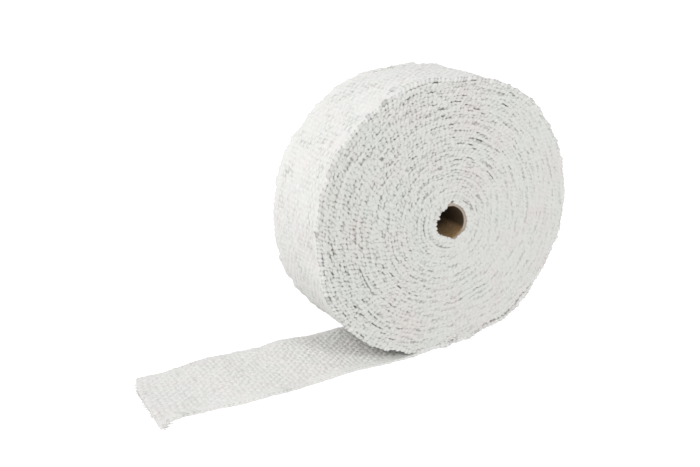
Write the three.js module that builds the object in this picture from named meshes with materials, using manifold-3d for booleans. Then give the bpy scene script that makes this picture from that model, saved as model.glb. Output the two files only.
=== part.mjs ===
// Exhaust heat wrap: one woven glass-fibre tape wound tight on a cardboard core, standing on its rim,
// with the tape's free end laid out along the floor.
// X runs along the free end, which points to -X, Y runs along the roll's axis, and Z is up.
// The origin is on the floor, straight below the middle of the roll. Lengths are in millimetres.

import * as THREE from 'three';
import { mergeVertices } from 'three/addons/utils/BufferGeometryUtils.js';
import Module from 'manifold-3d';

// Tape
const TAPE_WIDTH = 50;
const TAPE_THICKNESS = 1.5;
const FREE_END_LENGTH = 147;

// Cardboard core, which sits a little off the middle of the roll
const CORE_BORE_RADIUS = 8.3;
const CORE_WALL = 2;
const CORE_CLEARANCE = 0.3;
const CORE_RECESS = 1;
const CORE_OFFSET_X = 2.7;
const CORE_OFFSET_Z = -2.5;

// Roll: its outermost turn, and how far a soft roll gives under its own weight
const ROLL_RADIUS = 70;
const FLOOR_SINK = 1.6;
const OUT_OF_ROUND = 1.7;

// Slack of the outermost turn, low on the side away from the free end
const SLACK_DENT = 3.3;
const SLACK_DENT_ANGLE = -72;
const SLACK_DENT_SPREAD = 12;
const SLACK_GAP = 1.8;
const SLACK_FROM_ANGLE = -33;
const SLACK_TO_ANGLE = -82;

// Turns on the two ends: one groove in relief for every few turns of tape
const TURNS_PER_GROOVE = 3;
const GROOVE_WIDTH = 1.5;
const GROOVE_DEPTH = 1.1;
const FIRST_GROOVE = 0.5;
const PLAIN_OUTER_GROOVES = 1;

// Free end: it lies a little wavy on the floor and drifts to one side. It is flat as far as
// FREE_FROM_X, and its waves have grown to their full height SETTLE_LENGTH further out.
const FREE_FROM_X = -23;
const SETTLE_LENGTH = 31;
const FREE_END_DRIFT = 4;
const EDGE_WAVE = 0.7;
const EDGE_WAVE_LENGTH = 41;
const FLOOR_WAVE = 1.1;
const FLOOR_WAVE_LENGTH = 43;
const FLOOR_WAVE_SLANT = 0.3;
const CUT_HOLLOW = 2;
const CUT_SKEW = 2.6;
const CUT_REACH = 12;

// Facets
const ROLL_FACETS = 96;
const CORE_FACETS = 40;
const GROOVE_FACETS_PER_TURN = 30;
const SLACK_FACETS = 16;
const FREE_END_STEP = 5;
const ROWS_ACROSS_TAPE = 4;

const ROLL_CENTRE_Z = ROLL_RADIUS - FLOOR_SINK;
const CORE_RADIUS = CORE_BORE_RADIUS + CORE_WALL;
const WOUND_BORE_RADIUS = CORE_RADIUS + CORE_CLEARANCE;
const BOTTOM_ANGLE = -Math.PI / 2;
const FULL_TURN = 2 * Math.PI;

const wasm = await Module();
wasm.setup();

// Radius of the roll's skin at an angle from +X, with the give of the soft roll but without its spiral
function skinRadius(angle) {
  const fromDent = THREE.MathUtils.radToDeg(angle) - SLACK_DENT_ANGLE;
  const dent = SLACK_DENT * Math.exp(-((fromDent / SLACK_DENT_SPREAD) ** 2));
  return ROLL_RADIUS + OUT_OF_ROUND * Math.sin(2 * angle) - dent;
}

// Point on the outermost turn: it starts at the bottom, goes round by +X and the top, and ends one
// tape thickness further in, on top of the tape's start. inset goes in from the skin.
function outerTurnPoint(angle, inset = 0) {
  const share = (angle - BOTTOM_ANGLE) / FULL_TURN;
  const radius = skinRadius(angle) - TAPE_THICKNESS * share - inset;
  const floor = share > 0.5 ? TAPE_THICKNESS : 0;
  return new THREE.Vector2(
    radius * Math.cos(angle),
    Math.max(ROLL_CENTRE_Z + radius * Math.sin(angle), floor + inset),
  );
}

// Point inside the winding: share is 0 at the core and 1 at the skin
function woundPoint(share, angle) {
  const below = Math.max(-Math.sin(angle), 0);
  const flattened = below > 0 ? Math.min(skinRadius(angle), ROLL_CENTRE_Z / below) : skinRadius(angle);
  const radius = THREE.MathUtils.lerp(WOUND_BORE_RADIUS, flattened, share);
  return new THREE.Vector2(
    CORE_OFFSET_X * (1 - share) + radius * Math.cos(angle),
    ROLL_CENTRE_Z + CORE_OFFSET_Z * (1 - share) + radius * Math.sin(angle),
  );
}

// Section of the tape across its width: the roll's outline, then the free end's top and underside
function tapeSection() {
  const points = [];
  for (let i = 0; i < ROLL_FACETS; i += 1) {
    const point = outerTurnPoint(BOTTOM_ANGLE + (FULL_TURN * i) / ROLL_FACETS);
    const onFreeEnd = i > ROLL_FACETS / 2 && point.y <= TAPE_THICKNESS;
    if (onFreeEnd) break;
    points.push(point);
  }
  const wedgeX = points.at(-1).x;
  const steps = Math.round((FREE_END_LENGTH + wedgeX) / FREE_END_STEP);
  const alongFreeEnd = Array.from({ length: steps }, (_, i) =>
    THREE.MathUtils.lerp(-FREE_END_LENGTH, wedgeX, i / steps));
  const top = alongFreeEnd.map((x) => new THREE.Vector2(x, TAPE_THICKNESS)).reverse();
  const underside = alongFreeEnd.map((x) => new THREE.Vector2(x, 0));
  const shape = new THREE.Shape([...points, ...top, ...underside]);
  shape.holes.push(slackGap(), coreHole());
  return shape;
}

// Thin crescent between the slack outermost turn and the roll
function slackGap() {
  const outer = [];
  const inner = [];
  for (let i = 0; i <= SLACK_FACETS; i += 1) {
    const share = i / SLACK_FACETS;
    const angle = THREE.MathUtils.degToRad(
      THREE.MathUtils.lerp(SLACK_FROM_ANGLE, SLACK_TO_ANGLE, share));
    const gap = SLACK_GAP * Math.sin(Math.PI * share) ** 2;
    outer.push(outerTurnPoint(angle, TAPE_THICKNESS));
    const isTip = i === 0 || i === SLACK_FACETS;
    if (!isTip) inner.push(outerTurnPoint(angle, TAPE_THICKNESS + gap));
  }
  return new THREE.Path([...outer, ...inner.reverse()]);
}

// Round hole that the core fills
function coreHole() {
  const points = [];
  for (let i = 0; i < CORE_FACETS; i += 1) {
    points.push(woundPoint(0, (FULL_TURN * i) / CORE_FACETS));
  }
  return new THREE.Path(points);
}

// Lays the free end on the floor: it drifts sideways, its edges and underside wave, its cut is hollow
function layFreeEnd(geometry) {
  const position = geometry.getAttribute('position');
  const laidLength = FREE_END_LENGTH + FREE_FROM_X;
  for (let i = 0; i < position.count; i += 1) {
    const x = position.getX(i);
    const y = position.getY(i);
    const z = position.getZ(i);
    const isFree = x < FREE_FROM_X && z <= TAPE_THICKNESS;
    if (isFree) {
      const laid = FREE_FROM_X - x;
      const across = (2 * y) / TAPE_WIDTH;
      const grown = Math.min(laid / SETTLE_LENGTH, 1);
      const drift = FREE_END_DRIFT * (laid / laidLength) ** 2;
      const edgeWave = EDGE_WAVE * across * Math.sin((FULL_TURN * x) / EDGE_WAVE_LENGTH + across);
      const floorPhase = (FULL_TURN * (x + FLOOR_WAVE_SLANT * y)) / FLOOR_WAVE_LENGTH;
      const floorWave = (FLOOR_WAVE * (1 - Math.cos(floorPhase))) / 2;
      const nearCut = Math.max(1 - (laidLength - laid) / CUT_REACH, 0);
      const cut = CUT_HOLLOW * (1 - across * across) + (CUT_SKEW * across) / 2;
      position.setX(i, x + nearCut * cut);
      position.setY(i, y - drift + grown * edgeWave);
      position.setZ(i, z + grown * floorWave);
    }
  }
}

// Spiral that a groove follows on one end of the roll
class TurnSpiral extends THREE.Curve {
  constructor(faceY) {
    super();
    const depthOfTurns = ROLL_RADIUS - WOUND_BORE_RADIUS;
    const pitch = TURNS_PER_GROOVE * TAPE_THICKNESS;
    this.faceY = faceY;
    this.turns = depthOfTurns / pitch - FIRST_GROOVE - PLAIN_OUTER_GROOVES;
    this.shareOfTurn = pitch / depthOfTurns;
  }

  getPoint(t) {
    const turn = t * this.turns;
    const share = this.shareOfTurn * (turn + FIRST_GROOVE);
    const point = woundPoint(share, BOTTOM_ANGLE + FULL_TURN * turn);
    return new THREE.Vector3(point.x, this.faceY, point.y);
  }

  // Steps go by equal angles, not by equal lengths
  getUtoTmapping(u) {
    return u;
  }
}

// V-shaped cutter that follows the turns on the end at faceY
function turnGroove(faceY) {
  const spiral = new TurnSpiral(faceY);
  const steps = Math.round(spiral.turns * GROOVE_FACETS_PER_TURN);
  const frame = spiral.computeFrenetFrames(steps, false);
  const intoRoll = -Math.sign(faceY) * Math.sign(frame.normals[0].y);
  const section = new THREE.Shape([
    new THREE.Vector2(intoRoll * GROOVE_DEPTH, 0),
    new THREE.Vector2(-intoRoll * GROOVE_DEPTH, GROOVE_WIDTH),
    new THREE.Vector2(-intoRoll * GROOVE_DEPTH, -GROOVE_WIDTH),
  ]);
  return new THREE.ExtrudeGeometry(section, { steps, bevelEnabled: false, extrudePath: spiral });
}

function toSolid(geometry) {
  const bare = geometry.index ? geometry.toNonIndexed() : geometry.clone();
  bare.deleteAttribute('normal');
  bare.deleteAttribute('uv');
  const merged = mergeVertices(bare);
  return new wasm.Manifold(new wasm.Mesh({
    numProp: 3,
    vertProperties: merged.getAttribute('position').array,
    triVerts: Uint32Array.from(merged.index.array),
  }));
}

function toGeometry(solid) {
  const mesh = solid.getMesh();
  const geometry = new THREE.BufferGeometry();
  geometry.setAttribute('position', new THREE.BufferAttribute(mesh.vertProperties, 3));
  geometry.setIndex(new THREE.BufferAttribute(mesh.triVerts, 1));
  return geometry;
}

// The whole tape: roll and free end are one piece, with its turns in relief on both ends
function tapeGeometry() {
  const geometry = new THREE.ExtrudeGeometry(tapeSection(), {
    depth: TAPE_WIDTH,
    steps: ROWS_ACROSS_TAPE,
    bevelEnabled: false,
  });
  geometry.rotateX(Math.PI / 2);
  geometry.translate(0, TAPE_WIDTH / 2, 0);
  layFreeEnd(geometry);
  const roll = toSolid(geometry);
  const grooved = [-TAPE_WIDTH / 2, TAPE_WIDTH / 2].reduce(
    (solid, faceY) => solid.subtract(toSolid(turnGroove(faceY))), roll);
  return toGeometry(grooved);
}

// Tube turned about its own axis, which lies along Y
function coreGeometry() {
  const halfLength = TAPE_WIDTH / 2 - CORE_RECESS;
  const wall = [
    new THREE.Vector2(CORE_BORE_RADIUS, -halfLength),
    new THREE.Vector2(CORE_RADIUS, -halfLength),
    new THREE.Vector2(CORE_RADIUS, halfLength),
    new THREE.Vector2(CORE_BORE_RADIUS, halfLength),
    new THREE.Vector2(CORE_BORE_RADIUS, -halfLength),
  ];
  return new THREE.LatheGeometry(wall, CORE_FACETS);
}

function wrapTape() {
  const material = new THREE.MeshStandardMaterial({ color: 0xe6e4dc, roughness: 0.92, metalness: 0 });
  const mesh = new THREE.Mesh(tapeGeometry(), material);
  mesh.name = 'heat_wrap_tape';
  return mesh;
}

function cardboardCore() {
  const material = new THREE.MeshStandardMaterial({ color: 0x9a7650, roughness: 0.9, metalness: 0 });
  const mesh = new THREE.Mesh(coreGeometry(), material);
  mesh.name = 'cardboard_core';
  mesh.position.set(CORE_OFFSET_X, 0, ROLL_CENTRE_Z + CORE_OFFSET_Z);
  return mesh;
}

const exhaustHeatWrap = new THREE.Group();
exhaustHeatWrap.name = 'exhaust_heat_wrap';
exhaustHeatWrap.add(wrapTape(), cardboardCore());

export default exhaustHeatWrap;
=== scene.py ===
"""Exhaust heat wrap: a roll of woven glass-fibre tape on a cardboard core, with its free end laid out.

The tape is modelled as it is made: one strip on one spiral, from its cut end on the floor, round the
roll and in to the core. The free end and the outermost turn are woven, yarn by yarn. The turns inside
show only their edges, where the weft loops back, so they are thick strips with a looped edge.
"""
import math

import bpy
import numpy as np
from mathutils import Matrix, Vector


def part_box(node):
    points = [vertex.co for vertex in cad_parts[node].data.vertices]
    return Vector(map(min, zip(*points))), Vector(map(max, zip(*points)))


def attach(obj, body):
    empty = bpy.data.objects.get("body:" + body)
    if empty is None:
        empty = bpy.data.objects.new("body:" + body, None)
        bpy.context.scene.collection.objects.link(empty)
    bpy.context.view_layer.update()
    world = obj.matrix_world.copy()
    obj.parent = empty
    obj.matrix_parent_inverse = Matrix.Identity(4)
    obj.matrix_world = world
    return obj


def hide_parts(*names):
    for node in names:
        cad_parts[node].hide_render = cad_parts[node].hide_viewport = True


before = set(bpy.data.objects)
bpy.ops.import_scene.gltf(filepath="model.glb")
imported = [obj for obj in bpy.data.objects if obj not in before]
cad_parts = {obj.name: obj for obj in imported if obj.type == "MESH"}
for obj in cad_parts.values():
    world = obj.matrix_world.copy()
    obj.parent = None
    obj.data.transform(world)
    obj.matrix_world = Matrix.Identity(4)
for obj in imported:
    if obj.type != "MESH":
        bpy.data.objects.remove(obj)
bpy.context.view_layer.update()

MM = 0.001
FULL_TURN = 2 * math.pi
PHOTO_WIDTH = 700

# Tape and roll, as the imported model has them
TAPE_WIDTH = 50 * MM
TAPE_THICKNESS = 1.5 * MM
FREE_END_LENGTH = 147 * MM
ROLL_RADIUS = 70 * MM
FLOOR_SINK = 1.6 * MM
OUT_OF_ROUND = 1.7 * MM
SLACK_DENT = 3.3 * MM
SLACK_DENT_ANGLE = math.radians(-72)
SLACK_DENT_SPREAD = math.radians(12)
SLACK_GAP = 1.8 * MM
SLACK_FROM = math.radians(-33)
SLACK_TO = math.radians(-82)
ROLL_CENTRE_Z = ROLL_RADIUS - FLOOR_SINK

core_low, core_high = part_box("cardboard_core")
CORE_X = (core_low.x + core_high.x) / 2
CORE_Z = (core_low.z + core_high.z) / 2
CORE_RADIUS = (core_high.x - core_low.x) / 2
CORE_HALF_LENGTH = core_high.y
CORE_WALL = 2 * MM
WOUND_BORE_RADIUS = CORE_RADIUS + 0.15 * MM
TURNS = (ROLL_RADIUS - WOUND_BORE_RADIUS) / TAPE_THICKNESS

# Added to places where noise is looked up
NOISE_START = 1
YARN_NOISE_START = 5

# Weave
WARP_PITCH = 2.0 * MM
WEFT_PITCH = 2.4 * MM
LOOP_PITCH = 2.3 * MM
LOOP_SLANT = 0.35 * MM
LOOP_RELIEF = 1.5 * MM
LOOPS_BEFORE_ROLL = 300 * MM
SELVEDGE = 3.2 * MM

# Loose places between turns on the near end: where each is in X and Z, half its length, its width
LOOSE_PLACES = [
    (-11.8, 66.3, 7, 0.42),
    (-1.7, 53.8, 6, 0.45),
    (17.4, 70.5, 3, 0.4),
    (25.5, 86.5, 4, 0.32),
    (39.1, 98.5, 2, 0.5),
    (33.8, 120.5, 3, 0.5),
    (-44.5, 46.0, 9, 0.24),
]

# Dents and bulges of the near rim: angle from +X, height, and spread of the angle
RIM_BUMPS = [
    (0, 1.2, 14),
    (-17, 0.8, 5),
    (25, 0.5, 13),
    (46, 1.0, 5),
    (-59, 1.4, 7),
    (-86, -2.6, 8),
    (-112, -1.8, 7),
    (-172, -1.7, 8),
    (146, 1.1, 13),
    (85, -2.1, 11),
    (68, -1.0, 7),
]
FAR_RIM_BUMPS = [
    (90, -2.1, 14),
    (199, 0.5, 5),
    (152, 0.8, 8),
]

# Edges of the free end: places along it in X, and how far each edge strays from straight there
STRAY_PLACES = (-150, -139, -132, -126, -119, -112, -106, -94, -88, -82, -76, -69, -62, -55, -48, -40)
NEAR_STRAY = (-0.5, -0.5, -0.2, 0.1, -0.4, -1.8, -2.9, -3.4, -3.2, -2.6, -1.6, -0.9, -0.9, -1.1, -0.6, 0.0)
FAR_STRAY = (-0.3, -0.8, -1.4, -1.4, -0.8, -0.2, 0.7, 1.2, 0.1, -1.6, -1.0, -0.2, 0.9, -0.2, -0.2, 0.0)

# How far the first turns lean in over the core's near rim, round the core from the angle -180
LEAN_ANGLES = (-180, -160, -135, -113, -90, -74, -47, -28, 25, 45, 78, 86, 97, 110, 135, 157)
CORE_LEANS = (3.4, 2.9, 3.3, 4.0, 2.6, 1.3, 1.5, 0.0, 0.0, -0.5, -0.6, 0.0, 1.8, 4.4, 5.2, 5.1)


# Noise and mesh helpers

def smooth_noise(seed, x, cell, y=None):
    """Value noise from -1 to 1 along x, or over x and y, with features about one cell long."""
    rng = np.random.default_rng(seed)
    x = np.asarray(x) / cell
    x0 = np.floor(x).astype(int)
    fx = x - x0
    fx = fx * fx * (3 - 2 * fx)
    if y is None:
        size = 4096
        table = rng.uniform(-1, 1, size)
        return table[x0 % size] * (1 - fx) + table[(x0 + 1) % size] * fx
    size = 256
    table = rng.uniform(-1, 1, (size, size))
    y = np.asarray(y) / cell
    y0 = np.floor(y).astype(int)
    fy = y - y0
    fy = fy * fy * (3 - 2 * fy)
    low = table[x0 % size, y0 % size] * (1 - fx) + table[(x0 + 1) % size, y0 % size] * fx
    high = table[x0 % size, (y0 + 1) % size] * (1 - fx) + table[(x0 + 1) % size, (y0 + 1) % size] * fx
    return low * (1 - fy) + high * fy


def make_mesh(name, points, face_groups, material, pit=None, tape=None):
    """Smooth mesh object from points and arrays of faces. pit and tape are values for each point; pit sets
    how much painted shade each point gets.
    """
    mesh = bpy.data.meshes.new(name)
    mesh.vertices.add(len(points))
    mesh.vertices.foreach_set("co", np.asarray(points, np.float32).ravel())
    corners = np.concatenate([np.asarray(g, np.int32).ravel() for g in face_groups])
    sizes = np.concatenate([np.full(len(g), len(g[0]), np.int32) for g in face_groups])
    mesh.loops.add(len(corners))
    mesh.loops.foreach_set("vertex_index", corners)
    mesh.polygons.add(len(sizes))
    mesh.polygons.foreach_set("loop_start", np.concatenate([[0], np.cumsum(sizes)[:-1]]).astype(np.int32))
    mesh.polygons.foreach_set("use_smooth", np.ones(len(sizes), bool))
    mesh.update(calc_edges=True)
    mesh.validate()
    if pit is not None:
        layer = mesh.attributes.new("pit", "FLOAT", "POINT")
        layer.data.foreach_set("value", np.asarray(pit, np.float32).ravel())
    if tape is not None:
        layer = mesh.attributes.new("tape", "FLOAT_VECTOR", "POINT")
        layer.data.foreach_set("vector", np.asarray(tape, np.float32).ravel())
    mesh.materials.append(material)
    made = bpy.data.objects.new(name, mesh)
    bpy.context.collection.objects.link(made)
    return made


def swept_mesh(name, rings, pits, tapes, material):
    """Closed solid through rings of points: rings holds one row of points for each corner of the
    section, each as long as the sweep."""
    place = np.stack(rings)
    corner_count, columns = place.shape[:2]
    corner = np.arange(corner_count)[:, None]
    following = (corner + 1) % corner_count
    step = np.arange(columns - 1)[None, :]
    quads = np.stack([
        corner * columns + step,
        corner * columns + step + 1,
        following * columns + step + 1,
        following * columns + step,
    ], -1).reshape(-1, 4)
    cap = (np.arange(corner_count) * columns)[None, :]
    faces = [quads, cap, cap[:, ::-1] + columns - 1]
    flat = place.reshape(-1, 3)
    a, b, c, d = (flat[quads[:, i]] for i in range(4))
    volume = (np.einsum("ij,ij->", a, np.cross(b, c)) + np.einsum("ij,ij->", a, np.cross(c, d))) / 6
    if volume < 0:
        faces = [np.asarray(group)[:, ::-1] for group in faces]
    return make_mesh(name, flat, faces, material, pit=np.stack(pits), tape=np.stack(tapes))


# Path of the tape

def wrap_angle(angle):
    """The same angle, from minus half a turn to half a turn."""
    return (angle + math.pi) % FULL_TURN - math.pi


def bumps_at(angle, bumps):
    """Sum of a rim's bumps at an angle, each a bell curve."""
    total = 0
    for at, height, spread in bumps:
        away = wrap_angle(angle - math.radians(at)) / math.radians(spread)
        total = total + height * MM * np.exp(-(away ** 2))
    return total


def skin_radius(angle):
    """Radius of the roll's skin: a little out of round, dented, and flat where it rests."""
    dent = SLACK_DENT * np.exp(-((wrap_angle(angle - SLACK_DENT_ANGLE) / SLACK_DENT_SPREAD) ** 2))
    skin = ROLL_RADIUS + OUT_OF_ROUND * np.sin(2 * angle) - dent
    below = np.maximum(-np.sin(angle), 1e-6)
    return np.minimum(skin, ROLL_CENTRE_Z / below)


def slack_gap(angle):
    """Gap below the outermost turn, where it hangs slack."""
    share = np.clip((wrap_angle(angle) - SLACK_FROM) / (SLACK_TO - SLACK_FROM), 0, 1)
    return SLACK_GAP * np.sin(math.pi * share) ** 2


def loose_shift(turned, centre, spread, width):
    """Opens a gap inside the turn at centre, and eases the turns on both sides of it."""
    angle = wrap_angle(turned - centre)
    turns_in = np.round((turned - angle - centre) / FULL_TURN)
    side = np.where(turns_in <= 0, 1.0, -1.0)
    away = np.abs(turns_in - 0.5) - 0.5
    turns_to_settle = 4
    window = np.clip(1 - (angle / spread) ** 2, 0, 1)
    return 0.5 * width * side * np.exp(-away / turns_to_settle) * window


def spiral_point(turned, inset=0.0, gaps=()):
    """Point in X and Z on the wound tape. turned is the angle gone through from the bottom of the
    outermost turn, and inset goes in from that turn's outer surface."""
    angle = turned - math.pi / 2
    share = 1 - turned / (FULL_TURN * TURNS)
    radius = WOUND_BORE_RADIUS + (skin_radius(angle) - WOUND_BORE_RADIUS) * share
    turn = turned / FULL_TURN
    turns_to_settle = 6
    settled = np.exp(-(turn - 1) / turns_to_settle)
    radius = radius - np.where(turn >= 1, slack_gap(angle) * settled, 0)
    for gap in gaps:
        radius = radius + loose_shift(turned, *gap)
    radius = radius - inset
    x = CORE_X * (1 - share) + radius * np.cos(angle)
    z = ROLL_CENTRE_Z + (CORE_Z - ROLL_CENTRE_Z) * (1 - share) + radius * np.sin(angle)
    return np.stack([x, z], -1)


# The wound tape point by point, as the angle gone through up to its inner end
INNER_END_SHORT = 0.23
SPIRAL_POINTS = 120000
TURNED = np.linspace(0, FULL_TURN * (TURNS - INNER_END_SHORT), SPIRAL_POINTS)


def find_gaps():
    """Loose places as turned angle, spread of the angle and width."""
    points = spiral_point(TURNED, TAPE_THICKNESS)
    gaps = []
    for x, z, half_length, width in LOOSE_PLACES:
        nearest = np.argmin(np.hypot(points[:, 0] - x * MM, points[:, 1] - z * MM))
        radius = np.hypot(x * MM - CORE_X, z * MM - CORE_Z)
        gaps.append((TURNED[nearest], half_length * MM / radius, width * MM))
    return gaps


GAPS = find_gaps()
middle_line = spiral_point(TURNED, TAPE_THICKNESS / 2, GAPS)
LENGTH_AT_TURNED = np.concatenate([[0], np.cumsum(np.linalg.norm(np.diff(middle_line, axis=0), axis=1))])
WOUND_LENGTH = LENGTH_AT_TURNED[-1]


def tape_path(along):
    """Middle line of the tape in X and Z, its outward normal and the angle turned. along is 0 at the
    bottom of the roll and negative on the floor."""
    turned = np.interp(np.maximum(along, 0), LENGTH_AT_TURNED, TURNED)
    point = spiral_point(turned, TAPE_THICKNESS / 2, GAPS)
    step = 0.002
    tangent = (spiral_point(turned + step, TAPE_THICKNESS / 2, GAPS)
               - spiral_point(turned - step, TAPE_THICKNESS / 2, GAPS))
    tangent /= np.linalg.norm(tangent, axis=-1, keepdims=True)
    normal = np.stack([tangent[:, 1], -tangent[:, 0]], -1)
    on_floor = (along < 0)[:, None]
    flat = np.stack([along, np.full(len(along), TAPE_THICKNESS / 2)], -1)
    point = np.where(on_floor, flat, point)
    normal = np.where(on_floor, np.array([0.0, -1.0]), normal)
    return point, normal, turned


def lay_free_end(x, y):
    """Shift of a point of the free end: it drifts, its edges and underside wave, its cut is rounded and
    its near corner sticks out."""
    free_from = -23 * MM
    settle = 31 * MM
    drift_at_cut = 4 * MM
    edge_wave_height = 0.5 * MM
    edge_wave_length = 41 * MM
    floor_wave_height = 1.1 * MM
    floor_wave_length = 43 * MM
    cut_zone = 12 * MM
    corner_from = -143.5 * MM
    corner_reach = 4.2 * MM

    laid = np.maximum(free_from - x, 0)
    laid_length = FREE_END_LENGTH + free_from
    across = 2 * y / TAPE_WIDTH
    grown = np.minimum(laid / settle, 1)
    drift = drift_at_cut * (laid / laid_length) ** 2
    edge_share = across * (1 - 0.4 * across)
    edge_wave = edge_wave_height * edge_share * np.sin(FULL_TURN * x / edge_wave_length + across)
    floor_angle = FULL_TURN * (x + 0.3 * y) / floor_wave_length
    floor_wave = floor_wave_height * (1 - np.cos(floor_angle)) / 2
    near_stray = np.interp(x / MM, STRAY_PLACES, NEAR_STRAY) * MM
    far_stray = np.interp(x / MM, STRAY_PLACES, FAR_STRAY) * MM
    stray = (near_stray * (1 - across) + far_stray * (1 + across)) / 2

    near_cut = np.maximum(1 - (laid_length - laid) / cut_zone, 0)
    cut = -2.5 * MM + 3.8 * MM * np.clip((across - 0.3) / 0.7, 0, 1) ** 1.5
    in_corner = np.clip((corner_from - x) / (2 * MM), 0, 1) * np.clip((1 - across) / 2, 0, 1) ** 9
    sideways = -drift + grown * edge_wave + stray - corner_reach * in_corner
    return near_cut * cut, sideways, grown * floor_wave


# Weave

def make_loops(seed, count=6000):
    """Loops of the weft round one edge of the tape: where each ends, and its own shape."""
    rng = np.random.default_rng(seed)
    lengths = LOOP_PITCH * rng.uniform(0.6, 1.4, count)
    return {
        "length": lengths,
        "end": np.cumsum(lengths) - LOOPS_BEFORE_ROLL,
        "size": rng.uniform(0.6, 1.0, count),
        "rise": rng.normal(0, 1, count),
        "swell": rng.uniform(1.05, 1.7, count),
        "shift": rng.uniform(-0.4, 0.4, count) * MM,
    }


def loops_at(loops, along):
    """Place in the loop from -1 to 1, and a function that looks up one of the loop's own values."""
    index = np.clip(np.searchsorted(loops["end"], along), 1, len(loops["end"]) - 2)
    place = 1 - 2 * (loops["end"][index] - along) / loops["length"][index]
    beside = index + np.where(place > 0, 1, -1)
    blend = 0.5 * np.clip((np.abs(place) - 0.6) / 0.4, 0, 1)

    def value(name):
        """The loop's own value, blended with its neighbour's towards the loop's ends."""
        return loops[name][index] * (1 - blend) + loops[name][beside] * blend

    return place, value


def loop_shape(loops, along, lean):
    """Shape of the edge's loops. lean is the place across the tape's thickness, from -1 to 1, and
    slants them. Gives how deep the edge lies below a loop's top, as a share of the relief, how much
    the loop swells the tape, and how far it shifts it."""
    place, value = loops_at(loops, along + LOOP_SLANT * lean)
    dome = np.sqrt(np.clip(1 - 0.8 * place * place, 0, 1))
    corner = np.abs(place) ** 3 * lean * lean
    top = 1 - 0.28 * place * place - 0.2 * lean * lean - 0.5 * corner
    depth = 1 - (0.45 + 0.55 * value("size")) * top - 0.12 * value("rise")
    return depth, value("swell") * (0.6 + 0.4 * dome), value("shift")


NEAR_LOOPS = make_loops(51)
FAR_LOOPS = make_loops(52)


def weave_height(along, across, seed):
    """Height of a plain weave above its middle, and how deep each point lies in a pit, from 0 to 1, which
    sets the pit's painted shade.
    """
    noise_x = along + NOISE_START
    noise_y = across + NOISE_START
    bent_along = along + 0.8 * MM * smooth_noise(seed, noise_x, 6 * MM, noise_y)
    bent_across = across + 0.6 * MM * smooth_noise(seed + 1, noise_x, 7 * MM, noise_y)
    warp = np.floor(bent_across / WARP_PITCH)
    weft = np.floor(bent_along / WEFT_PITCH)
    in_warp = 2 * (bent_across / WARP_PITCH - warp) - 1
    in_weft = 2 * (bent_along / WEFT_PITCH - weft) - 1
    plump = 1 + 0.4 * smooth_noise(seed + 2, along + 61 * MM * warp + YARN_NOISE_START, 5 * MM)
    lift = 0.22 * smooth_noise(seed + 3, along + 47 * MM * warp + YARN_NOISE_START, 3.5 * MM)
    over = np.cos(math.pi * (bent_along / WEFT_PITCH - 0.5 + warp))
    under = -np.cos(math.pi * (bent_across / WARP_PITCH - 0.5 + weft))
    warp_top = lift + 0.32 * over + 0.44 * plump * np.sqrt(np.maximum(1 - in_warp ** 2, 0))
    weft_top = 0.24 * under - 0.14 + 0.34 * np.sqrt(np.maximum(1 - in_weft ** 2, 0))
    knots = 0.14 * smooth_noise(seed + 8, noise_x, 2.3 * MM, noise_y)
    height = np.maximum(warp_top, weft_top) + knots
    # Painted shade in the weave's pits, stronger where the weave is more open.
    open_weave = np.clip(0.55 + 0.5 * smooth_noise(seed + 7, noise_x, 8 * MM, noise_y), 0.2, 1.1)
    pit_below = 0.4
    pit = np.clip(open_weave * (pit_below - height) / 0.5, 0, 1)
    middle = 0.55
    return (height - middle) * MM, pit


def edge_line(along, seed):
    """How far the tape's edge strays from straight, before its loops."""
    slow = 0.22 * smooth_noise(seed, along + NOISE_START, 13 * MM)
    quick = 0.25 * smooth_noise(seed + 1, along + NOISE_START, 5 * MM)
    return (slow + quick) * MM


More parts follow.
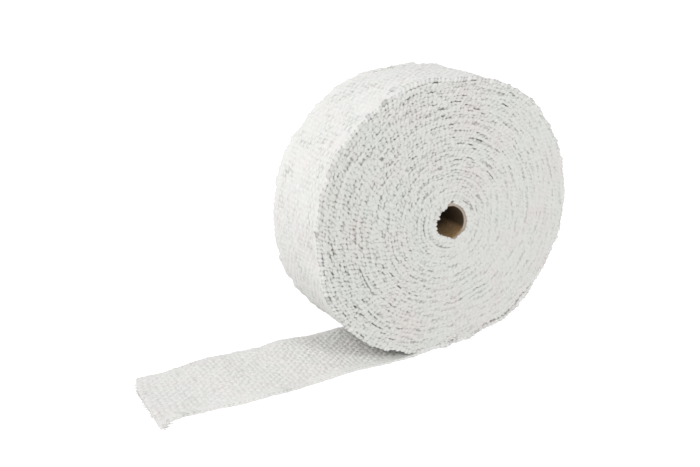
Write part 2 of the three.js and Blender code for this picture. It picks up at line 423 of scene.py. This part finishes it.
def cloth_strip(name, start, end, columns, woven_side, woven_rows, plain_rows, material, seed):
    """Woven length of tape. woven_side is 1 where the fine weave faces out of the roll, else -1."""
    along = np.linspace(start, end, columns)
    middle, normal, turned = tape_path(along)
    free = along < 0
    half = TAPE_THICKNESS / 2
    edge_depth = 1 * MM
    near_limit = -TAPE_WIDTH / 2 + edge_depth - edge_line(along, seed + 20)
    far_limit = TAPE_WIDTH / 2 - edge_depth + edge_line(along, seed + 30)
    wound_from = -26 * MM
    wound_over = 22 * MM
    wound = np.clip((along - wound_from) / wound_over, 0, 1)
    wound = wound * wound * (3 - 2 * wound)
    rim_shift = bumps_at(turned - math.pi / 2, RIM_BUMPS) * wound
    far_rim_shift = bumps_at(turned - math.pi / 2, FAR_RIM_BUMPS) * wound
    near_noise = smooth_noise(seed + 9, along + NOISE_START, 3.4 * MM)
    far_noise = smooth_noise(seed + 11, along + NOISE_START, 4.2 * MM)
    lobes = 0.6 * MM * np.clip(0.3 + near_noise, 0, 1.3) * wound
    far_lobes = 0.8 * MM * np.clip(0.35 + far_noise, 0, 1.3) * wound
    shaded_from = -95 * MM
    shaded_over = 40 * MM
    beside_roll = np.clip((along - shaded_from) / shaded_over, 0, 1) * (1 - wound)
    relief = (1.0 + 0.5 * wound) * MM
    tightness = 0.35 + 0.65 * wound

    def place(y, offset):
        """Row of points at y across the tape and offset out from its middle."""
        near_share = np.clip((-y / (TAPE_WIDTH / 2) + 0.2) / 1.2, 0, 1) ** 1.5
        far_share = np.clip((y / (TAPE_WIDTH / 2) + 0.1) / 1.1, 0, 1) ** 1.5
        out = offset + rim_shift * near_share + far_rim_shift * far_share
        x = middle[:, 0] + normal[:, 0] * out
        z = middle[:, 1] + normal[:, 1] * out
        dx, dy, dz = lay_free_end(middle[:, 0], y)
        moved = np.stack([x + free * dx, y + free * dy, z + free * dz], -1)
        moved[:, 2] = np.maximum(moved[:, 2], 0)
        return moved

    rings, pits, tapes = [], [], []

    def add(y, offset, pit, across):
        """Adds a row of points, how deep each lies in a pit, and its place on the tape."""
        rings.append(place(y, offset))
        pits.append(pit * np.ones(columns))
        tapes.append(np.stack([along, across * np.ones(columns), np.full(columns, 0.1 * seed)], -1))

    def edge_swell(swell):
        """The loops swell the edge less where the tape lies free."""
        return 0.8 + (swell - 0.75) * wound

    def add_surface(side, rows, detailed):
        """One face of the tape, in rows from edge to edge."""
        shares = np.linspace(0, 1, rows)
        for share in (shares if side == woven_side else 1 - shares):
            y = near_limit * (1 - share) + far_limit * share
            across = share * TAPE_WIDTH
            from_edge = min(share, 1 - share) * TAPE_WIDTH
            loops = NEAR_LOOPS if share < 0.5 else FAR_LOOPS
            woven_across = across + (0 if side > 0 else 7 * MM)
            height, pit = weave_height(along, np.full(columns, woven_across), seed)
            depth, swell, shift = loop_shape(loops, along + 0.5 * from_edge, 0.0)
            selvedge = np.clip(1.4 - from_edge / SELVEDGE, 0, 1)
            loop_height = (0.2 - 0.75 * depth) * MM
            height = height * (1 - selvedge) + loop_height * selvedge
            # Painted shade between the selvedge's loops: weaker on the near band once wound, stronger on
            # the far band. The woven surface's pit shade grows where the tape is wound.
            darker = 1 - 0.7 * wound if share < 0.5 else 1.3
            pit = pit * (0.75 + 0.45 * wound)
            pit = pit * (1 - selvedge) + np.clip(1.3 * depth - 0.35, 0, 1) * selvedge * darker
            height = height * (1 + 0.3 * beside_roll)
            if not detailed:
                height = height * 0.35 - 0.12 * MM
            lump_noise = smooth_noise(seed + 5, along + NOISE_START, 6 * MM, np.full(columns, across))
            lump = 0.16 * MM * lump_noise
            rounded = 2.6 * MM
            near_edge = max(1 - from_edge / rounded, 0) ** 1.5
            looped = 0.94 * half * edge_swell(swell) + side * shift * tightness
            if side > 0:
                looped = looped + (lobes if share < 0.5 else far_lobes)
            thick = (half + height + lump) * (1 - near_edge) + looped * near_edge
            add(y, side * np.maximum(thick, 0.15 * MM), pit, across)

    def add_edge(from_side, limit, direction, loops):
        """One edge of the tape, rounded and looped."""
        for turn in (70, 42, 14, -14, -42, -70):
            lean = from_side * math.sin(math.radians(turn))
            depth, swell, shift = loop_shape(loops, along, lean)
            y = limit + direction * np.maximum(1.3 * MM - relief * depth, 0.05 * MM)
            lobe = max(lean, 0) * (lobes if direction < 0 else far_lobes)
            offset = lean * half * edge_swell(swell) + shift * tightness + lobe
            # Painted shade between the edge's loops, a little more where the tape is wound.
            pit = np.clip(1.2 * depth - 0.4 + 0.22 * wound, 0, 1)
            add(y, offset, pit, 0 if direction < 0 else TAPE_WIDTH)

    add_surface(woven_side, woven_rows, True)
    add_edge(woven_side, far_limit, 1, FAR_LOOPS)
    add_surface(-woven_side, plain_rows, False)
    add_edge(-woven_side, near_limit, -1, NEAR_LOOPS)
    return swept_mesh(name, rings, pits, tapes, material)


def beside_gap(turned):
    """1 in the turns next to a loose place, 0 elsewhere."""
    beside = 0 * turned
    for centre, spread, _ in GAPS:
        angle = wrap_angle(turned - centre)
        turns_in = np.round((turned - angle - centre) / FULL_TURN)
        window = np.clip(1.3 - (angle / spread) ** 2, 0, 1)
        beside = np.maximum(beside, window * ((turns_in == 0) | (turns_in == 1)))
    return beside


def near_shift(turn, angle):
    """How far the near edge of a turn is pushed out of the roll, or in over the core."""
    bump_turns = 5
    lean_turns = 1.5
    turns_to_core = TURNS - 0.4 - turn
    rim = bumps_at(angle, RIM_BUMPS) * np.exp(-(turn - 1) / bump_turns)
    lean = np.interp(np.degrees(angle), LEAN_ANGLES, CORE_LEANS, period=360) * MM
    return rim - lean * np.exp(-turns_to_core / lean_turns)


# Angles round the two edges of a wound turn, where its rows of points lie
NEAR_ROUND = (90, 60, 30, 0, -30, -60, -90)
FAR_ROUND = (90, 54, 18, -18, -54, -90)


def wound_strip(start, end, columns, leans):
    """Length of tape inside the roll, of which only the two looped edges show: its rings of points and
    their coordinates on the tape. The first rings are the near edge's, the last ones the far edge's."""
    along = np.linspace(start, end, columns)
    middle, normal, turned = tape_path(along)
    angle = turned - math.pi / 2
    turn = turned / FULL_TURN
    half = TAPE_THICKNESS / 2
    tight = 1 - beside_gap(turned)
    relief = LOOP_RELIEF * (1.0 - 0.5 * pressed_share(middle[:, 0], middle[:, 1]))

    rng = np.random.default_rng(90)
    uneven = 0.06
    turn_shift = rng.normal(0, uneven, int(TURNS) + 3) * MM
    telescoped = np.interp(turn, np.arange(len(turn_shift)), turn_shift)

    rings, tapes = [], []

    def add(y, offset, lean):
        """Adds a row of points at y, offset out from the tape's middle."""
        x = middle[:, 0] + normal[:, 0] * offset
        z = middle[:, 1] + normal[:, 1] * offset
        rings.append(np.stack([x, y, z], -1))
        tapes.append(np.stack([0.5 * (lean + 1) * half + 0 * along, along, 0.1 + 0 * along], -1))

    def add_edge(direction, turns_round, loops, edge_seed):
        """One looped edge. Where the turns lean in over the core, it stays clear of the core's end."""
        near = direction < 0
        edge = TAPE_WIDTH / 2 + edge_line(along, edge_seed) + (telescoped if near else -telescoped)
        over_core = CORE_HALF_LENGTH + 0.15 * MM
        if near and leans:
            add(np.full(columns, -over_core), half * np.ones(columns), 1.0)
        for round_angle in turns_round:
            lean = direction * -math.sin(math.radians(round_angle))
            depth, swell, shift = loop_shape(loops, along, lean)
            y = edge + 0.3 * MM - relief * depth
            offset = lean * half * (1 + (swell - 1) * tight) + shift * tight
            if near:
                outward = (lean + 1) / 2
                inner_push = near_shift(turn, angle)
                outer_push = near_shift(turn - 1, angle)
                offset = offset + inner_push * (1 - outward) + outer_push * outward
                if leans:
                    y = np.maximum(y, over_core)
            add(direction * y, offset, lean)
        if near and leans:
            add(np.full(columns, -over_core), -half * np.ones(columns), -1.0)

    add_edge(-1, NEAR_ROUND, NEAR_LOOPS, 91)
    add_edge(1, FAR_ROUND, FAR_LOOPS, 92)
    return np.stack(rings), np.stack(tapes)


def pressed_share(x, z):
    """The turns are pressed together more on the side away from the free end: 1 there, else less."""
    return np.clip(0.5 + x / (90 * MM) - 0.35 * (z - ROLL_CENTRE_Z) / (70 * MM), 0, 1)


def moved_by_one(grid):
    """The grid moved by one cell in each of the four directions."""
    return [np.roll(grid, shift, axis) for shift in (-1, 1) for axis in (0, 1)]


def hollows(points, side):
    """How far the roll's end at each point lies below its surroundings, from a map of its height."""
    cell = 0.4 * MM
    cells = 400
    map_left = -80 * MM
    fill_rounds = 3
    blur_rounds = 14
    i = ((points[:, 0] - map_left) / cell).astype(int)
    j = (points[:, 2] / cell).astype(int)
    top = np.zeros((cells, cells))
    np.maximum.at(top, (i, j), side * points[:, 1])
    for _ in range(fill_rounds):
        top = np.where(top > 0, top, np.max(moved_by_one(top), 0))
    top = np.where(top > 0, top, TAPE_WIDTH / 2)
    around = top
    for _ in range(blur_rounds):
        around = (around + sum(moved_by_one(around))) / 5
    return (around - top)[i, j]


def wound_turns(start, end, pieces, columns, material):
    """The turns inside the roll, in several strips end to end."""
    each = (end - start) / pieces
    strips = [wound_strip(start + n * each, start + (n + 1) * each, columns, n == pieces - 1)
              for n in range(pieces)]
    far_rows = len(FAR_ROUND)
    ends = []
    for side, rows in ((-1, slice(None, -far_rows)), (1, slice(-far_rows, None))):
        points = np.concatenate([rings[rows].reshape(-1, 3) for rings, _ in strips])
        pressed = pressed_share(points[:, 0], points[:, 2])
        # Painted shade in the hollows of the roll's two ends, less where the turns are pressed together.
        depth = np.clip(hollows(points, side) / (0.5 * MM) - 0.15, 0, 1)
        ends.append(depth * (1 - 0.35 * pressed))
    made = []
    near_from, far_from = 0, 0
    for number, (rings, tapes) in enumerate(strips):
        near_count = (len(rings) - far_rows) * columns
        far_count = far_rows * columns
        near_pits = ends[0][near_from:near_from + near_count]
        far_pits = ends[1][far_from:far_from + far_count]
        pits = np.concatenate([near_pits, far_pits])
        near_from += near_count
        far_from += far_count
        strip = swept_mesh(f"wound_turns_{number + 1}", list(rings), list(pits.reshape(len(rings), -1)),
                           list(tapes), material)
        made.append(strip)
    return made


# Cardboard core

def core_tube(material):
    """Paper tube with a shallow spiral seam in its bore and a ragged rim."""
    around = 140
    seam_pitch = 34 * MM
    seam_width = 0.5 * MM
    seam_depth = 0.15 * MM
    rim_rise = 0.12 * MM
    raggedness = 0.14 * MM
    clearance = 0.05 * MM
    angle = np.linspace(0, FULL_TURN, around, endpoint=False)
    inner = CORE_RADIUS - CORE_WALL
    outer = CORE_RADIUS - clearance
    straight = CORE_HALF_LENGTH - 0.2 * MM
    profile = [(inner, y, "bore") for y in np.linspace(-straight, straight, 40)]
    rim = [(0.12, 0.0), (0.35, rim_rise), (0.65, rim_rise), (0.88, 0.0)]
    profile += [(inner + CORE_WALL * share, CORE_HALF_LENGTH + rise, "rim") for share, rise in rim]
    profile += [(outer, y, "outside") for y in np.linspace(straight, -straight, 6)]
    profile += [(inner + CORE_WALL * share, -CORE_HALF_LENGTH - rise, "rim") for share, rise in rim[::-1]]
    rows = []
    for radius, y, part in profile:
        wall = radius
        ragged = 0
        if part == "bore":
            from_seam = ((angle / FULL_TURN + y / seam_pitch) % 1.0 - 0.5) * seam_pitch
            wall = radius + seam_depth * np.exp(-((from_seam / seam_width) ** 2))
        if part == "rim":
            ragged = smooth_noise(71, angle * 12 * MM + NOISE_START, 1.2 * MM)
        x = CORE_X + wall * np.cos(angle)
        z = CORE_Z + wall * np.sin(angle)
        rows.append(np.stack([x, y + raggedness * ragged + 0 * angle, z], -1))
    count = len(profile)
    i = np.arange(count)[:, None]
    j = np.arange(around)[None, :]
    next_i = (i + 1) % count
    next_j = (j + 1) % around
    quads = np.stack([
        i * around + j,
        i * around + next_j,
        next_i * around + next_j,
        next_i * around + j,
    ], -1).reshape(-1, 4)
    return make_mesh("core_tube", np.concatenate(rows), [quads], material)


# Yarn ends and loose fibres

def yarn_tubes(name, paths, radii, sides, material, taper=0.35):
    """Many short thin tubes in one mesh. paths is an array of points, one row for each tube."""
    count, steps = paths.shape[:2]
    tangent = np.gradient(paths, axis=1)
    tangent /= np.linalg.norm(tangent, axis=-1, keepdims=True) + 1e-12
    helper = np.where(np.abs(tangent[..., 2:3]) > 0.9, np.array([1.0, 0, 0]), np.array([0, 0, 1.0]))
    across = np.cross(tangent, helper)
    across /= np.linalg.norm(across, axis=-1, keepdims=True)
    upward = np.cross(across, tangent)
    angle = np.linspace(0, FULL_TURN, sides, endpoint=False)
    narrowing = 1 - (1 - taper) * np.linspace(0, 1, steps)
    radius = (radii[:, None] * narrowing[None, :])[..., None, None]
    cosine = np.cos(angle)[None, None, :, None]
    sine = np.sin(angle)[None, None, :, None]
    ring = across[:, :, None, :] * cosine + upward[:, :, None, :] * sine
    points = (paths[:, :, None, :] + radius * ring).reshape(-1, 3)
    tube = (np.arange(count) * steps * sides)[:, None, None]
    i = np.arange(steps - 1)[None, :, None]
    j = np.arange(sides)[None, None, :]
    following = (j + 1) % sides
    quads = np.stack([
        tube + i * sides + j,
        tube + (i + 1) * sides + j,
        tube + (i + 1) * sides + following,
        tube + i * sides + following,
    ], -1).reshape(-1, 4)
    first = np.arange(count)[:, None] * steps * sides
    cap = first + np.arange(sides)[None, :]
    last_cap = first + (steps - 1) * sides + np.arange(sides)[None, ::-1]
    tape = np.concatenate([points[:, :1] * 0.3 + points[:, 1:2], points[:, 2:3] + points[:, :1],
                           points[:, 1:2]], 1)
    # A slight, even painted shade on the yarn ends and fibres, through the pit value.
    slight_pit_shade = np.full(len(points), 0.08)
    return make_mesh(name, points, [quads, cap, last_cap], material, pit=slight_pit_shade, tape=tape)


def warp_ends(rng, share):
    """Ends of the warp yarns that stick out of the cut: their paths and radii. share goes from 0 to 1
    along a path."""
    paths = []
    radii = []
    fall = np.array([0, 0, -0.25 * MM])
    for y in np.arange(-TAPE_WIDTH / 2 + 1.2 * MM, TAPE_WIDTH / 2 - 1 * MM, WARP_PITCH * 0.55):
        dx, dy, dz = lay_free_end(np.array(-FREE_END_LENGTH), np.array(y))
        root = np.array([-FREE_END_LENGTH + dx + 1.2 * MM, y + dy, dz + rng.uniform(0.5, 1.0) * MM])
        reach = rng.uniform(1.2, 2.6) * MM
        aim = np.array([-1.0, rng.normal(0, 0.25), rng.normal(0, 0.15)])
        paths.append(root + share * aim * reach + share ** 2 * fall)
        radii.append(rng.uniform(0.34, 0.5) * MM)
    return paths, radii


def corner_tuft(rng, share, count=14):
    """Yarns of the small tuft at the cut's near corner: their paths and radii."""
    paths = []
    radii = []
    dx, dy, dz = lay_free_end(np.array(-FREE_END_LENGTH), np.array(-TAPE_WIDTH / 2))
    corner = np.array([-FREE_END_LENGTH + dx + 2.0 * MM, -TAPE_WIDTH / 2 + dy + 3.0 * MM, dz + 0.9 * MM])
    for _ in range(count):
        aim = np.array([rng.uniform(-0.3, 0.45), -1.0, rng.normal(0, 0.12)])
        reach = rng.uniform(2.4, 4.2) * MM
        curl = np.array([rng.normal(0.4, 0.5), 0.5, rng.uniform(-0.1, 0.3)]) * 2.2 * MM
        start = corner + rng.normal(0, 0.7, 3) * MM * np.array([1, 1, 0.3])
        path = start + share * aim * reach + share ** 2 * curl
        path[:, 2] = np.maximum(path[:, 2], 0.45 * MM)
        paths.append(path)
        radii.append(rng.uniform(0.38, 0.6) * MM)
    return paths, radii


def cut_yarn_ends(material):
    """Warp yarns that stick out of the cut, and the tuft at its near corner."""
    rng = np.random.default_rng(5)
    steps = 6
    share = np.linspace(0, 1, steps)[:, None]
    end_paths, end_radii = warp_ends(rng, share)
    tuft_paths, tuft_radii = corner_tuft(rng, share)
    paths = np.array(end_paths + tuft_paths)
    radii = np.array(end_radii + tuft_radii)
    return yarn_tubes("cut_yarn_ends", paths, radii, 8, material)


def loose_fibres(material, count=1100):
    """Fine stray fibres on the tape's two edges."""
    rng = np.random.default_rng(8)
    steps = 5
    near_share = 0.62
    on_floor_share = 0.16
    along_path = np.linspace(0, 1, steps)
    wound = rng.uniform(0, 1, count) ** 2.2 * WOUND_LENGTH * 0.9
    on_floor = -rng.uniform(0.02, 1, count) * (FREE_END_LENGTH - 3 * MM)
    along = np.where(rng.uniform(0, 1, count) < on_floor_share, on_floor, wound)
    middle, normal, _ = tape_path(along)
    side = np.where(rng.uniform(0, 1, count) < near_share, -1.0, 1.0)
    y = side * (TAPE_WIDTH / 2 - rng.uniform(0.2, 1.0, count) * MM)
    offset = rng.uniform(-0.5, 0.5, count) * TAPE_THICKNESS
    start = np.stack([middle[:, 0] + normal[:, 0] * offset, y, middle[:, 1] + normal[:, 1] * offset], -1)
    dx, dy, dz = lay_free_end(middle[:, 0], y)
    start += np.where((along < 0)[:, None], np.stack([dx, dy, dz], -1), 0)
    aim = rng.normal(0, 1, (count, 3))
    aim[:, 1] = side * np.abs(aim[:, 1]) * 0.6
    aim /= np.linalg.norm(aim, axis=1, keepdims=True)
    curl = rng.normal(0, 0.7, (count, 3))
    length = rng.uniform(1.0, 3.2, count)[:, None, None] * MM
    share = along_path[None, :, None]
    path = start[:, None, :] + length * (share * aim[:, None, :] + share ** 2 * curl[:, None, :])
    path[..., 2] = np.maximum(path[..., 2], 0.1 * MM)
    return yarn_tubes("loose_fibres", path, rng.uniform(0.035, 0.06, count) * MM, 3, material)


# Materials

def new_material(name, plain_colour):
    """Material with one principled shader: itself, its nodes, its links and the shader."""
    material = bpy.data.materials.new(name)
    material.use_nodes = True
    material.diffuse_color = (*plain_colour, 1)
    nodes = material.node_tree.nodes
    nodes.clear()
    output = nodes.new("ShaderNodeOutputMaterial")
    shader = nodes.new("ShaderNodeBsdfPrincipled")
    material.node_tree.links.new(shader.outputs["BSDF"], output.inputs["Surface"])
    return material, nodes, material.node_tree.links, shader


def colour_ramp(nodes, links, value, stops):
    """Colours that blend from stop to stop, by a value from 0 to 1."""
    ramp = nodes.new("ShaderNodeValToRGB")
    while len(ramp.color_ramp.elements) < len(stops):
        ramp.color_ramp.elements.new(0.5)
    for element, (position, colour) in zip(ramp.color_ramp.elements, stops):
        element.position = position
        element.color = (*colour, 1)
    links.new(value, ramp.inputs["Fac"])
    return ramp.outputs["Color"]


def noise_node(nodes, links, vector, scale, detail):
    """Noise over a vector, about 0.5 in the mean."""
    noise = nodes.new("ShaderNodeTexNoise")
    noise.inputs["Scale"].default_value = scale
    noise.inputs["Detail"].default_value = detail
    links.new(vector, noise.inputs["Vector"])
    return noise.outputs["Fac"]


def attribute_node(nodes, name):
    """Reads a value that the mesh holds for each point."""
    attribute = nodes.new("ShaderNodeAttribute")
    attribute.attribute_name = name
    return attribute


def math_node(nodes, links, operation, first, second=None):
    """second is a number or an output of another node."""
    node = nodes.new("ShaderNodeMath")
    node.operation = operation
    links.new(first, node.inputs[0])
    if isinstance(second, float):
        node.inputs[1].default_value = second
    elif second is not None:
        links.new(second, node.inputs[1])
    return node.outputs["Value"]


def rise_node(nodes, links, value, start, end, top=1.0):
    """Rises from 0, where the value is start, to top, where it is end."""
    node = nodes.new("ShaderNodeMapRange")
    node.inputs["From Min"].default_value = start
    node.inputs["From Max"].default_value = end
    node.inputs["To Max"].default_value = top
    links.new(value, node.inputs["Value"])
    return node.outputs["Result"]


def mix_node(nodes, links, share, colour, other):
    """Blends from one node's colour to another, plain one."""
    node = nodes.new("ShaderNodeMix")
    node.data_type = "RGBA"
    node.inputs["B"].default_value = (*other, 1)
    links.new(colour, node.inputs["A"])
    links.new(share, node.inputs["Factor"])
    return node.outputs["Result"]


def bump_node(nodes, links, height, strength, distance, normal=None):
    """Normal bent by a height, on top of another one if that is given."""
    node = nodes.new("ShaderNodeBump")
    node.inputs["Strength"].default_value = strength
    node.inputs["Distance"].default_value = distance
    links.new(height, node.inputs["Height"])
    if normal is not None:
        links.new(normal, node.inputs["Normal"])
    return node.outputs["Normal"]


def tape_material(name, green, plain, pink, pit_shade_colour):
    """Off-white woven glass fibre: filaments along the yarns, painted shade in the pits and faint tinted
    patches.
    """
    material, nodes, links, shader = new_material(name, plain)
    place = nodes.new("ShaderNodeTexCoord").outputs["Object"]
    stretched = nodes.new("ShaderNodeMapping")
    stretched.inputs["Scale"].default_value = (900, 5200, 1)
    links.new(attribute_node(nodes, "tape").outputs["Vector"], stretched.inputs["Vector"])
    filaments = noise_node(nodes, links, stretched.outputs["Vector"], 1.0, 3)
    patches = noise_node(nodes, links, place, 60, 3)
    fuzz = noise_node(nodes, links, place, 1600, 3)

    tint = colour_ramp(nodes, links, patches, [(0.36, green), (0.5, plain), (0.64, pink)])
    # Painted shade: the mesh's pit value blends the colour towards dark grey in the weave's pits and
    # between the edges' loops.
    pit = attribute_node(nodes, "pit").outputs["Fac"]
    pit_depth = math_node(nodes, links, "POWER", pit, 1.2)
    shade = mix_node(nodes, links, pit_depth, tint, pit_shade_colour)
    links.new(shade, shader.inputs["Base Color"])

    filament_normal = bump_node(nodes, links, filaments, 0.5, 0.25 * MM)
    fuzz_normal = bump_node(nodes, links, fuzz, 0.4, 0.2 * MM, filament_normal)
    links.new(fuzz_normal, shader.inputs["Normal"])
    shader.inputs["Roughness"].default_value = 0.88
    shader.inputs["Sheen Weight"].default_value = 0.2
    shader.inputs["Sheen Roughness"].default_value = 0.5
    shader.inputs["Specular IOR Level"].default_value = 0.2
    return material


def cardboard_material():
    """Brown wound paper with a greyish beige cut rim. Painted shade makes it darker deep in the bore and
    above the bore's lowest part, where little light comes in."""
    brown = (0.40, 0.25, 0.115)
    dark = (0.30, 0.18, 0.08)
    pale = (0.50, 0.33, 0.17)
    rim_colour = (0.40, 0.34, 0.28)
    shaded = (0.03, 0.018, 0.009)
    material, nodes, links, shader = new_material("core_cardboard", brown)
    place = nodes.new("ShaderNodeTexCoord").outputs["Object"]
    split = nodes.new("ShaderNodeSeparateXYZ")
    links.new(place, split.inputs["Vector"])
    from_middle = math_node(nodes, links, "ABSOLUTE", split.outputs["Y"])

    fibres = noise_node(nodes, links, place, 700, 5)
    paper = colour_ramp(nodes, links, fibres, [(0.3, dark), (0.5, brown), (0.75, pale)])
    # Painted shade: dark deep in the bore and above its lowest part.
    deep = rise_node(nodes, links, from_middle, CORE_HALF_LENGTH - 2 * MM, CORE_HALF_LENGTH - 20 * MM, 0.6)
    high = rise_node(nodes, links, split.outputs["Z"], CORE_Z - 5.5 * MM, CORE_Z - 2.5 * MM, 0.85)
    darker = math_node(nodes, links, "MAXIMUM", deep, high)
    dim = mix_node(nodes, links, darker, paper, shaded)
    on_rim = rise_node(nodes, links, from_middle, CORE_HALF_LENGTH - 0.5 * MM, CORE_HALF_LENGTH - 0.1 * MM)
    colour = mix_node(nodes, links, on_rim, dim, rim_colour)
    links.new(colour, shader.inputs["Base Color"])
    links.new(bump_node(nodes, links, fibres, 0.4, 0.15 * MM), shader.inputs["Normal"])
    shader.inputs["Roughness"].default_value = 0.9
    return material


# Stage, light and camera

def make_stage():
    """Plain floor that gives off some light of its own."""
    pale = (0.25, 0.25, 0.25)
    material, _, _, shader = new_material("pale_floor", pale)
    shader.inputs["Base Color"].default_value = (*pale, 1)
    shader.inputs["Roughness"].default_value = 1.0
    shader.inputs["Specular IOR Level"].default_value = 0.0
    shader.inputs["Emission Color"].default_value = (1, 1, 1, 1)
    shader.inputs["Emission Strength"].default_value = 0.9
    half = 6.0
    corners = [(-half, -half, 0), (half, -half, 0), (half, half, 0), (-half, half, 0)]
    make_mesh("floor", corners, [[(0, 1, 2, 3)]], material)


def make_lights():
    """Two softboxes, and a world that is white to the camera and a little dimmer as a light."""
    world_light = 0.68
    world = bpy.data.worlds.new("studio")
    bpy.context.scene.world = world
    world.use_nodes = True
    nodes, links = world.node_tree.nodes, world.node_tree.links
    background = nodes["Background"]
    background.inputs["Color"].default_value = (1.0, 1.0, 1.0, 1)
    sky = nodes.new("ShaderNodeMapRange")
    sky.inputs["To Min"].default_value = world_light
    sky.inputs["To Max"].default_value = 1.0
    links.new(nodes.new("ShaderNodeLightPath").outputs["Is Camera Ray"], sky.inputs["Value"])
    links.new(sky.outputs["Result"], background.inputs["Strength"])
    target = Vector((0, 0, ROLL_CENTRE_Z))
    for name, place, size, power in (
        ("left_softbox", (-0.95, 0.0, 0.92), 0.5, 7.4),
        ("front_softbox", (-0.1, -0.9, 0.76), 0.3, 3.7),
    ):
        light = bpy.data.lights.new(name, "AREA")
        light.shape = "SQUARE"
        light.size = size
        light.energy = power
        lamp = bpy.data.objects.new(name, light)
        lamp.location = place
        lamp.rotation_mode = "QUATERNION"
        lamp.rotation_quaternion = (target - lamp.location).to_track_quat("-Z", "Y")
        bpy.context.collection.objects.link(lamp)
    settings = bpy.context.scene.view_settings
    settings.view_transform = "Standard"
    settings.look = "None"


def make_camera():
    """Camera of the photograph, from the roll's outline in it."""
    azimuth = math.radians(-25.8)
    elevation = math.radians(17.8)
    roll = math.radians(-2.1)
    distance = 476.6 * MM
    focal_pixels = 976.7
    sensor_width = 36
    target = Vector((-39.3 * MM, 0, 61.3 * MM))
    back = Vector((math.sin(azimuth) * math.cos(elevation),
                   -math.cos(azimuth) * math.cos(elevation), math.sin(elevation)))
    right = (-back).cross(Vector((0, 0, 1))).normalized()
    up = right.cross(-back)
    tilted_right = right * math.cos(roll) + up * math.sin(roll)
    tilted_up = up * math.cos(roll) - right * math.sin(roll)
    camera = bpy.data.objects.new("camera", bpy.data.cameras.new("camera"))
    camera.data.sensor_width = sensor_width
    camera.data.lens = sensor_width * focal_pixels / PHOTO_WIDTH
    turn = Matrix((tilted_right, tilted_up, back)).transposed()
    camera.matrix_world = Matrix.Translation(target + back * distance) @ turn.to_4x4()
    bpy.context.collection.objects.link(camera)
    bpy.context.scene.camera = camera


def ride(piece, node):
    """Ties a piece to the part's one body and hides the solid that it replaces."""
    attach(piece, "root")
    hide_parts(node)


make_stage()
make_lights()
make_camera()

cloth = tape_material(
    "woven_glass_fibre",
    green=(0.652, 0.66, 0.638),
    plain=(0.66, 0.656, 0.64),
    pink=(0.667, 0.65, 0.635),
    pit_shade_colour=(0.20, 0.195, 0.185),
)
# The roll's ends: the cloth's colours a little darker, as painted shade for the end faces.
edges = tape_material(
    "looped_edges_shaded",
    green=(0.622, 0.636, 0.606),
    plain=(0.632, 0.632, 0.607),
    pink=(0.64, 0.622, 0.6),
    pit_shade_colour=(0.19, 0.185, 0.165),
)

UNDER_ROLL = 6 * MM
STRIP_OVERLAP = 3 * MM
OUTER_TURN_END = np.interp(FULL_TURN * 1.005, TURNED, LENGTH_AT_TURNED)
WEAVE_SEED = 3
free_end = cloth_strip(
    "free_end_tape", -FREE_END_LENGTH, UNDER_ROLL, columns=440,
    woven_side=-1, woven_rows=122, plain_rows=24, material=cloth, seed=WEAVE_SEED,
)
outer_turn = cloth_strip(
    "outer_turn_tape", UNDER_ROLL, OUTER_TURN_END, columns=800,
    woven_side=1, woven_rows=100, plain_rows=7, material=cloth, seed=WEAVE_SEED,
)
wound = wound_turns(OUTER_TURN_END - STRIP_OVERLAP, WOUND_LENGTH, pieces=4, columns=5400, material=edges)
tape_pieces = [free_end, outer_turn, *wound]
yarn_ends = cut_yarn_ends(cloth)
fibres = loose_fibres(cloth)
for piece in (*tape_pieces, yarn_ends, fibres):
    ride(piece, "heat_wrap_tape")
core = core_tube(cardboard_material())
ride(core, "cardboard_core")
